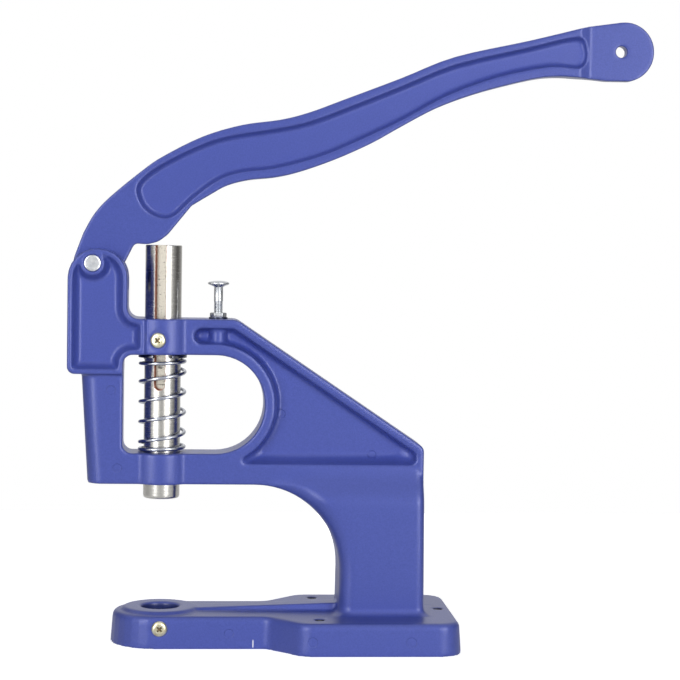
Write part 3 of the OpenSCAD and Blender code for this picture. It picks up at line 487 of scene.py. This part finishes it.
def soft_casting(node, cell, passes, most=196000):
    """Softened copy of a CAD casting: its edges and inner corners are rounded
    as a thick powder coat on a die casting rounds them. Cells that the shape
    doesn't need are merged until at most so many triangles are left."""
    bm = bmesh.new()
    bm.from_mesh(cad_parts[node].data)
    merged(bm, 0.01 * MM)
    obj = as_object(node + "_soft", bm)
    skin = obj.modifiers.new("skin", "REMESH")
    skin.mode = "VOXEL"
    skin.voxel_size = cell
    skin.adaptivity = 0.0
    relax = obj.modifiers.new("relax", "SMOOTH")
    relax.factor = 0.5
    relax.iterations = passes
    bake_modifiers(obj)
    triangles = sum(len(face.vertices) - 2 for face in obj.data.polygons)
    if triangles > most:
        fewer = obj.modifiers.new("fewer", "DECIMATE")
        fewer.ratio = most / triangles
        bake_modifiers(obj)
    return obj


class PRESS_OT_frame_casting(bpy.types.Operator):
    """Softens the frame casting and coats it blue"""
    bl_idname = "eyelet_press.frame_casting"
    bl_label = "Frame casting"

    def execute(self, context):
        settings = context.scene.eyelet_press
        coat = finish_named("Blue Powder Coat", lambda: make_powder_coat(settings))
        obj = soft_casting("frame_casting", settings.frame_grain, 3)
        settle(obj, coat, "frame_casting", "frame", smooth_angle=0)
        return {"FINISHED"}


class PRESS_OT_lever(bpy.types.Operator):
    """Softens the lever casting and coats it blue"""
    bl_idname = "eyelet_press.lever"
    bl_label = "Lever"

    def execute(self, context):
        settings = context.scene.eyelet_press
        coat = finish_named("Blue Powder Coat", lambda: make_powder_coat(settings))
        obj = soft_casting("lever", settings.lever_grain, 4)
        settle(obj, coat, "lever", "lever", smooth_angle=0)
        return {"FINISHED"}


class PRESS_OT_ram(bpy.types.Operator):
    """Turns the ram and cuts its keyway, its hole and its punch socket"""
    bl_idname = "eyelet_press.ram"
    bl_label = "Ram"

    def execute(self, context):
        settings = context.scene.eyelet_press
        steel = finish_named("Ground Steel Bar", lambda: make_ram_steel(settings))
        foot_in, foot_up, top_r, socket_r, gap = 1.1, 1.6, 0.6, 3.4, 0.03
        foot = [(RAM_R - foot_in * (1 - math.sin(a)), RAM_FOOT + foot_up * (1 - math.cos(a)))
                for a in [math.radians(15 * i) for i in range(7)]]
        top = [(RAM_R - top_r + top_r * math.cos(a), RAM_TOP - top_r + top_r * math.sin(a))
               for a in [math.radians(22.5 * i) for i in range(5)]]
        socket = [(0, RAM_FOOT + 18), (socket_r, RAM_FOOT + 16.5), (socket_r, RAM_FOOT + 0.5),
                  (socket_r + 0.5, RAM_FOOT)]
        groove = [(RAM_R, CLIP_LOW - gap - 0.1), (RAM_R - 0.1, CLIP_LOW - gap), (GROOVE_R, CLIP_LOW - gap),
                  (GROOVE_R, CLIP_TOP + gap), (RAM_R - 0.1, CLIP_TOP + gap), (RAM_R, CLIP_TOP + gap + 0.1)]
        profile = socket + foot + groove + top + [(0, RAM_TOP)]
        obj = as_object("ram_bar", turned_mesh(profile, 128))
        centre, reach = KEY_END + KEY_HALF, 20
        height = RAM_TOP + 5 - centre
        slot = block((2 * KEY_HALF, reach, height), (0, -KEY_FLOOR - reach / 2, centre + height / 2))
        end = rod(KEY_HALF, reach, (0, 0, 0), 64)
        turn_mesh(end, QUARTER, "X")
        shift_mesh(end, (0, -KEY_FLOOR, centre))
        hole = rod(KEY_HOLE_R, reach, (0, 0, 0), 48)
        turn_mesh(hole, QUARTER, "X")
        shift_mesh(hole, (0, -KEY_FLOOR / 3, KEY_HOLE_Z))
        for cutter in (slot, end, hole):
            turn_mesh(cutter, -KEY_TURN, "Z")
            combine(obj, cutter, "DIFFERENCE")
        settle(obj, steel, "ram", "ram")
        return {"FINISHED"}


class PRESS_OT_return_spring(bpy.types.Operator):
    """Winds the return spring with closed end turns"""
    bl_idname = "eyelet_press.return_spring"
    bl_label = "Return spring"

    def execute(self, context):
        settings = context.scene.eyelet_press
        wire = settings.wire / MM
        radius, turn_steps, sides, open_turns = 12.2, 48, 14, 4
        closed = wire * 1.35
        span = CLIP_LOW - 0.1 - SPRING_FOOT - wire
        opened = (span - 2 * closed) / open_turns
        bm = bmesh.new()
        ring = bmesh.ops.create_circle(bm, cap_ends=False, segments=sides, radius=wire / 2 * MM)["verts"]
        # A circle across the wire's way, carried round to the wire's lower end
        turn_mesh(bm, QUARTER, "Y", ring)
        shift_mesh(bm, (0, -radius, SPRING_FOOT + wire / 2), ring)
        start = math.radians(360 * 0.62)
        turn_mesh(bm, start, "Z", ring)
        first = list(bm.edges)
        geom = list(bm.verts) + list(bm.edges)
        for turns, pitch in ((1, closed), (open_turns, opened), (1, closed)):
            steps = turns * turn_steps
            made = bmesh.ops.spin(bm, geom=geom, cent=(0, 0, 0), axis=(0, 0, 1),
                                  dvec=(0, 0, pitch * MM / turn_steps), angle=2 * math.pi * turns,
                                  steps=steps, use_merge=False, use_duplicate=False)
            geom = [g for g in made["geom_last"]
                    if isinstance(g, (bmesh.types.BMVert, bmesh.types.BMEdge))]
        last = [g for g in geom if isinstance(g, bmesh.types.BMEdge)]
        way = Matrix.Rotation(start, 3, "Z") @ Vector((1, 0, 0))
        for rim, sign in ((first, -1), (last, 1)):
            tip = bmesh.ops.extrude_edge_only(bm, edges=rim)["geom"]
            verts = [g for g in tip if isinstance(g, bmesh.types.BMVert)]
            bmesh.ops.translate(bm, vec=way * sign * settings.wire, verts=verts)
            edges = [g for g in tip if isinstance(g, bmesh.types.BMEdge) and len(g.link_faces) == 1]
            bmesh.ops.edgeloop_fill(bm, edges=edges)
        merged(bm)
        obj = as_object("spring_coil", bm)
        wire_finish = finish_named("Drawn Spring Wire", make_spring_wire)
        settle(obj, wire_finish, "return_spring", "frame", smooth_angle=60)
        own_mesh(obj)
        return {"FINISHED"}


class PRESS_OT_retaining_ring(bpy.types.Operator):
    """Stamps the open ring that sits in the ram's groove"""
    bl_idname = "eyelet_press.retaining_ring"
    bl_label = "Retaining ring"

    def execute(self, context):
        settings = context.scene.eyelet_press
        inner, outer, opening = GROOVE_R + 0.03, 13.3, 10.4
        profile = [(inner, CLIP_LOW), (outer, CLIP_LOW), (outer, CLIP_TOP), (inner, CLIP_TOP),
                   (inner, CLIP_LOW)]
        obj = as_object("ring_blank", turned_mesh(profile, 96))
        combine(obj, block((opening, 20, 6), (0, -10, (CLIP_LOW + CLIP_TOP) / 2)), "DIFFERENCE")
        break_edges(obj, settings.edge)
        steel = finish_named("Phosphated Ring Steel", make_ring_steel)
        settle(obj, steel, "retaining_ring", "ram")
        return {"FINISHED"}


class PRESS_OT_pivot_pin(bpy.types.Operator):
    """Turns the pin that the lever swings on"""
    bl_idname = "eyelet_press.pivot_pin"
    bl_label = "Pivot pin"

    def execute(self, context):
        settings = context.scene.eyelet_press
        half, radius = 16.9, 4.5
        nose = [(0, half - 0.1), (radius * 0.5, half - 0.1), (radius * 0.72, half),
                (radius - 0.65, half), (radius - 0.2, half - 0.2), (radius, half - 0.65)]
        profile = nose + [(r, -z) for r, z in reversed(nose)]
        bm = turned_mesh(profile, 64)
        turn_mesh(bm, QUARTER, "X")
        shift_mesh(bm, (PIVOT[0], 0, PIVOT[1]))
        zinc = finish_named("Bright Zinc Plate", lambda: make_bright_zinc(settings))
        settle(as_object("pin_bar", bm), zinc, "pivot_pin", "frame")
        return {"FINISHED"}


def cross_head_screw(settings, shank):
    """Screw with a domed head and a cross recess, its head towards -Y from the origin."""
    head_r, head_h, neck_r, pitch = 4.25, 2.4, 2.47, 0.8
    dome = [(head_r * (0.5 + 0.5 * math.cos(a)), head_h * (0.34 + 0.66 * math.sin(a)))
            for a in [math.radians(10 * i) for i in range(10)]]
    thread_root = neck_r - 0.4
    thread = []
    z = -0.6
    while z - pitch > -shank + 0.6:
        thread += [(neck_r, z), (thread_root, z - pitch / 2)]
        z -= pitch
    tip = [(0, -shank), (neck_r - 0.5, -shank), (neck_r, -shank + 0.5)]
    rim = [(neck_r, -0.5), (neck_r, 0), (head_r - 0.15, 0), (head_r, 0.15)]
    profile = tip + thread[::-1] + rim + dome + [(0, head_h)]
    obj = as_object("screw_blank", turned_mesh(profile, 64))
    for slant in (45, 135):
        wing = block((4.9, 1.25, 3.0), (0, 0, head_h + 0.05))
        low = [v for v in wing.verts if v.co.z < head_h * MM]
        bmesh.ops.scale(wing, vec=(0.45, 0.7, 1), verts=low)
        turn_mesh(wing, math.radians(slant), "Z")
        combine(obj, wing, "DIFFERENCE")
    combine(obj, rod(0.5, 2.6, (0, 0, head_h - 1.5), 24, 1.35), "DIFFERENCE")
    break_edges(obj, settings.edge * 0.6, 2, 40)
    bm = bmesh.new()
    bm.from_mesh(obj.data)
    turn_mesh(bm, QUARTER, "X")
    return obj, bm


class PRESS_OT_cross_screws(bpy.types.Operator):
    """Makes the ram guide screw and the die clamp screw"""
    bl_idname = "eyelet_press.cross_screws"
    bl_label = "Cross recess screws"

    def execute(self, context):
        settings = context.scene.eyelet_press
        collar, neck, gap = COLLAR_R - SEAT_DEPTH, NECK_HALF - SEAT_DEPTH, 0.03
        places = (
            ("ram_guide_screw", "frame", collar - KEY_FLOOR - 0.8, collar + gap, GUIDE_Z, -KEY_TURN),
            ("die_clamp_screw", "die_clamp_screw", neck - DIE_BORE_R - 0.2, neck + gap, CLAMP_Z, 0),
        )
        plate = finish_named("Yellow Zinc Plate", lambda: make_plate(
            "Yellow Zinc Plate", settings.yellow_colour, "#EFECD6", "#D2BC98",
            [(out, z, turn) for _, _, _, out, z, turn in places]))
        for node, body, shank, out, z, turn in places:
            obj, bm = cross_head_screw(settings, shank)
            shift_mesh(bm, (0, -out, z))
            turn_mesh(bm, turn, "Z")
            bm.to_mesh(obj.data)
            bm.free()
            settle(obj, plate, node, body, smooth_angle=40)
        return {"FINISHED"}


class PRESS_OT_stop_bolt(bpy.types.Operator):
    """Makes the stop bolt with its thread, its lock nut and its washer"""
    bl_idname = "eyelet_press.stop_bolt"
    bl_label = "Stop bolt, nut and washer"

    def execute(self, context):
        settings = context.scene.eyelet_press
        zinc = finish_named("Bright Zinc Plate", lambda: make_bright_zinc(settings))
        shank_r, head_r, root, dome_h, length, step = 2.47, 5.85, 0.32, 1.287, 36, 0.1
        foot, smooth_from = STOP_TOP - length, ARM_TOP + 10
        dome = [(head_r * math.cos(a), STOP_TOP - dome_h * (1 - math.sin(a)))
                for a in [math.radians(10 * i) for i in range(10)]]
        levels = [foot + 0.4 + step * i for i in range(int((smooth_from - foot - 0.4) / step) + 1)]
        tip = [(0, foot), (shank_r - 0.7, foot), (shank_r - 0.3, foot + 0.4)]
        neck = [(shank_r, STOP_TOP - 3.6), (shank_r + 0.25, STOP_TOP - 3.1),
                (head_r - 0.25, STOP_TOP - 1.95), (head_r, STOP_TOP - 1.6)]
        bm = turned_mesh(tip + [(shank_r, z) for z in levels] + neck + dome + [(0, STOP_TOP)], 40)
        pitch = settings.thread_pitch
        for vert in bm.verts:
            z = vert.co.z / MM
            if foot + 0.3 < z < smooth_from and abs(vert.co.xy.length / MM - shank_r) < 0.01:
                turn = math.atan2(vert.co.y, vert.co.x) / (2 * math.pi)
                wave = abs(((vert.co.z / pitch - turn) % 1) * 2 - 1)
                fade = min(smooth_from - z, 1)
                vert.co.xy *= 1 - root / shank_r * wave * fade
        shift_mesh(bm, (STOP_X, 0, 0))
        bolt = as_object("bolt_blank", bm)
        settle(bolt, zinc, "stop_bolt", "stop_bolt", smooth_angle=50)

        # What the nut shares with a turned lens has its corners taken off
        low, corner_r, bore_r = ARM_TOP + WASHER_H, 4 / math.cos(math.radians(30)), 2.53
        nut = as_object("nut_blank", rod(corner_r, NUT_H, (0, 0, low), 6))
        lens = [(0, low), (corner_r - 0.55, low), (corner_r, low + 0.32), (corner_r, low + NUT_H - 0.32),
                (corner_r - 0.55, low + NUT_H), (0, low + NUT_H)]
        combine(nut, turned_mesh(lens, 72), "INTERSECT")
        hole = [(0, low - 1), (3.0, low - 0.6), (bore_r, low + 0.35), (bore_r, low + 2.05),
                (3.0, low + 3), (0, low + 4)]
        combine(nut, turned_mesh(hole, 48), "DIFFERENCE")
        break_edges(nut, settings.edge * 0.6, 2, 40)
        self.move(nut, math.radians(30))
        settle(nut, zinc, "stop_lock_nut", "frame")

        inner, outer, top = 2.56, 5.15, ARM_TOP + WASHER_H
        rim = [(inner, ARM_TOP), (outer, ARM_TOP), (outer, top), (inner, top), (inner, ARM_TOP)]
        washer = as_object("washer_blank", turned_mesh(rim, 72))
        break_edges(washer, settings.edge)
        self.move(washer)
        # Painted shade and painted reflection: the washer's zinc is painted dark and bluish for the shade
        # under the nut and the blue arm that it mirrors
        washer_shade_zinc = finish_named("Washer Painted Shade Zinc", lambda: make_plate(
            "Washer Painted Shade Zinc", srgb("#5E6274"), "#4A4E62", "#777B88"))
        settle(washer, washer_shade_zinc, "stop_washer", "frame")
        return {"FINISHED"}

    def move(self, obj, turn=0.0):
        """Turns a piece that was made on the Z axis and carries it to the stop bolt's axis."""
        bm = bmesh.new()
        bm.from_mesh(obj.data)
        turn_mesh(bm, turn, "Z")
        shift_mesh(bm, (STOP_X, 0, 0))
        bm.to_mesh(obj.data)
        bm.free()


def add_lamp(name, place, target, size, power):
    """Adds a soft square lamp that looks at a point. Mirrors see the room's
    soft boxes in its place."""
    data = bpy.data.lights.new(name, "AREA")
    data.shape = "SQUARE"
    data.size = size
    data.energy = power
    lamp = bpy.data.objects.new(name, data)
    aim = Vector(target) - Vector(place)
    lamp.rotation_euler = aim.to_track_quat("-Z", "Y").to_euler()
    lamp.location = place
    lamp.visible_glossy = False
    bpy.context.scene.collection.objects.link(lamp)


# The room that bright steel mirrors: degrees round from the press's front, the
# left ones below nothing, and how bright it is there
ROOM = (
    (-180, 0.9),
    # Dark wall to the left and the edge of its soft box
    (-140, 0.25), (-85, 0.25), (-60, 0.85), (-50, 1.6),
    # Left soft box, the space between the two, and right soft box
    (-47, 6.0), (-34, 6.0), (-27, 1.3), (-12, 0.57), (5, 0.57), (19, 1.3), (25, 6.0), (40, 6.0),
    # Edge of the soft box and darker wall to the right
    (46, 1.3), (60, 0.5), (90, 0.12), (105, 0.12), (140, 0.45),
    (180, 0.9),
)


class PRESS_OT_stage(bpy.types.Operator):
    """Sets the floor, the studio light and the camera"""
    bl_idname = "eyelet_press.stage"
    bl_label = "Stage"

    def execute(self, context):
        scene = context.scene
        scene.view_settings.view_transform = "Standard"
        self.floor()
        self.world(scene)
        self.lamps()
        self.camera(scene)
        return {"FINISHED"}

    def floor(self):
        """Sheet of pale paper that keeps a soft shadow and reads white to the camera."""
        bm = bmesh.new()
        bmesh.ops.create_grid(bm, x_segments=1, y_segments=1, size=0.5)
        floor = as_object("floor", bm)
        material, add, shader, place = blank_material("White Paper Floor")
        fill(shader, {"Base Color": opaque(srgb("#EBEBEB")), "Roughness": 0.95, "Specular IOR Level": 0.1})
        camera, mirrors = camera_and_mirrors(add)
        seen = add("Math", (camera, add("Math", (mirrors, 0.3), operation="MULTIPLY")), operation="MAXIMUM")
        # Near the press the paper glows less, so that its shadow stays
        far = add("VectorMath", (place,), operation="LENGTH")
        lift = add("MapRange", (far, 0.24, 0.46, 0.76, 1.0), interpolation_type="SMOOTHSTEP")
        glow = add("Emission", {
            "Color": (1, 1, 1, 1), "Strength": add("Math", (seen, lift), operation="MULTIPLY")})
        output = next(node for node in material.node_tree.nodes if node.type == "OUTPUT_MATERIAL")
        fill(output, {"Surface": add("AddShader", (shader, glow))})
        floor.data.materials.append(material)

    def world(self, scene):
        """Room that mirrors show with two soft boxes in front, at 40 degrees to the
        left and 32 to the right, and dark sides: the bands on bright steel. The
        camera sees it white, and it lights dull surfaces only a little."""
        world = bpy.data.worlds.new("Studio")
        scene.world = world
        world.use_nodes = True
        world.node_tree.nodes.clear()
        add = partial(add_node, world.node_tree)
        x, y, z = add("SeparateXYZ", (add("TexCoord").outputs["Generated"],)).outputs
        away = add("Math", (y, -1.0), operation="MULTIPLY")
        around = add("Math", (x, away), operation="ARCTAN2")
        turn = add("Math", (add("Math", (around, 2 * math.pi), operation="DIVIDE"), 0.5), operation="ADD")
        ramp = add("ValToRGB", {"Fac": turn})
        elements = ramp.color_ramp.elements
        while len(elements) > 1:
            elements.remove(elements[-1])
        for i, (angle, value) in enumerate(ROOM):
            spot = elements[0] if i == 0 else elements.new(angle / 360 + 0.5)
            spot.position = angle / 360 + 0.5
            spot.color = (value, value, value, 1)
        overhead = add("MapRange", (z, 0.45, 0.8), interpolation_type="SMOOTHSTEP")
        room = add("Mix", {"Factor": overhead, "A": ramp, "B": (0.95, 0.95, 0.95, 1)}, data_type="RGBA")
        camera, mirrors = camera_and_mirrors(add)
        light = add("Mix", {"Factor": mirrors, "A": (0.05, 0.05, 0.052, 1), "B": room}, data_type="RGBA")
        light = add("Mix", {"Factor": camera, "A": light, "B": (1, 1, 1, 1)}, data_type="RGBA")
        add("OutputWorld", {"Surface": add("Background", {"Color": light, "Strength": 1.0})})

    def lamps(self):
        """Two soft boxes in front, little above the press, a weak one overhead, and
        one behind that keeps the far side from going dark."""
        middle = (0.05, 0, 0.16)
        add_lamp("left soft box", (-0.88, -1.66, 0.52), middle, 0.8, 19.5)
        add_lamp("right soft box", (0.8, -1.68, 0.42), middle, 0.8, 19.5)
        add_lamp("top", (0.1, 0.3, 1.5), (0.05, 0, 0.1), 1.2, 2)
        add_lamp("back", (0.25, 1.9, 0.6), middle, 1.2, 16)

    def camera(self, scene):
        """Camera at the photograph's place, fitted to the object's edges."""
        frame_pixels, focal_pixels, film_width = 680, 2000, 36
        yaw, pitch, roll = math.radians(4.6), 0.054, 0.016
        stand = (0.008976, -1.10253, 0.22725)
        look = Vector((math.sin(yaw) * math.cos(pitch), math.cos(yaw) * math.cos(pitch),
                       -math.sin(pitch)))
        right = Vector((math.cos(yaw), -math.sin(yaw), 0))
        up = right.cross(look)
        right, up = (math.cos(roll) * right + math.sin(roll) * up,
                     -math.sin(roll) * right + math.cos(roll) * up)
        data = bpy.data.cameras.new("camera")
        data.sensor_width = film_width
        data.lens = focal_pixels * film_width / frame_pixels
        data.clip_end = 100
        camera = bpy.data.objects.new("camera", data)
        turn = Matrix((right, up, -look)).transposed().to_4x4()
        camera.matrix_world = Matrix.Translation(stand) @ turn
        scene.collection.objects.link(camera)
        scene.camera = camera


PIECES = (PRESS_OT_frame_casting, PRESS_OT_lever, PRESS_OT_ram, PRESS_OT_return_spring,
          PRESS_OT_retaining_ring, PRESS_OT_pivot_pin, PRESS_OT_cross_screws, PRESS_OT_stop_bolt,
          PRESS_OT_stage)


class PRESS_PT_panel(bpy.types.Panel):
    """Lists the press's settings and the steps that build it"""
    bl_idname = "PRESS_PT_panel"
    bl_label = "Eyelet Press"
    bl_space_type = "VIEW_3D"
    bl_region_type = "UI"
    bl_category = "Eyelet Press"

    def draw(self, context):
        settings = context.scene.eyelet_press
        for name in settings.bl_rna.properties.keys():
            if name not in ("rna_type", "name"):
                self.layout.prop(settings, name)
        for piece in PIECES:
            self.layout.operator(piece.bl_idname)


CLASSES = (EyeletPressSettings,) + PIECES + (PRESS_PT_panel,)


def register():
    for cls in CLASSES:
        bpy.utils.register_class(cls)
    bpy.types.Scene.eyelet_press = PointerProperty(type=EyeletPressSettings)


def unregister():
    del bpy.types.Scene.eyelet_press
    for cls in reversed(CLASSES):
        bpy.utils.unregister_class(cls)


def main():
    """Builds every piece in order."""
    register()
    for piece in PIECES:
        group, step = piece.bl_idname.split(".")
        getattr(getattr(bpy.ops, group), step)()
    bpy.context.view_layer.update()


if __name__ == "__main__":
    main()
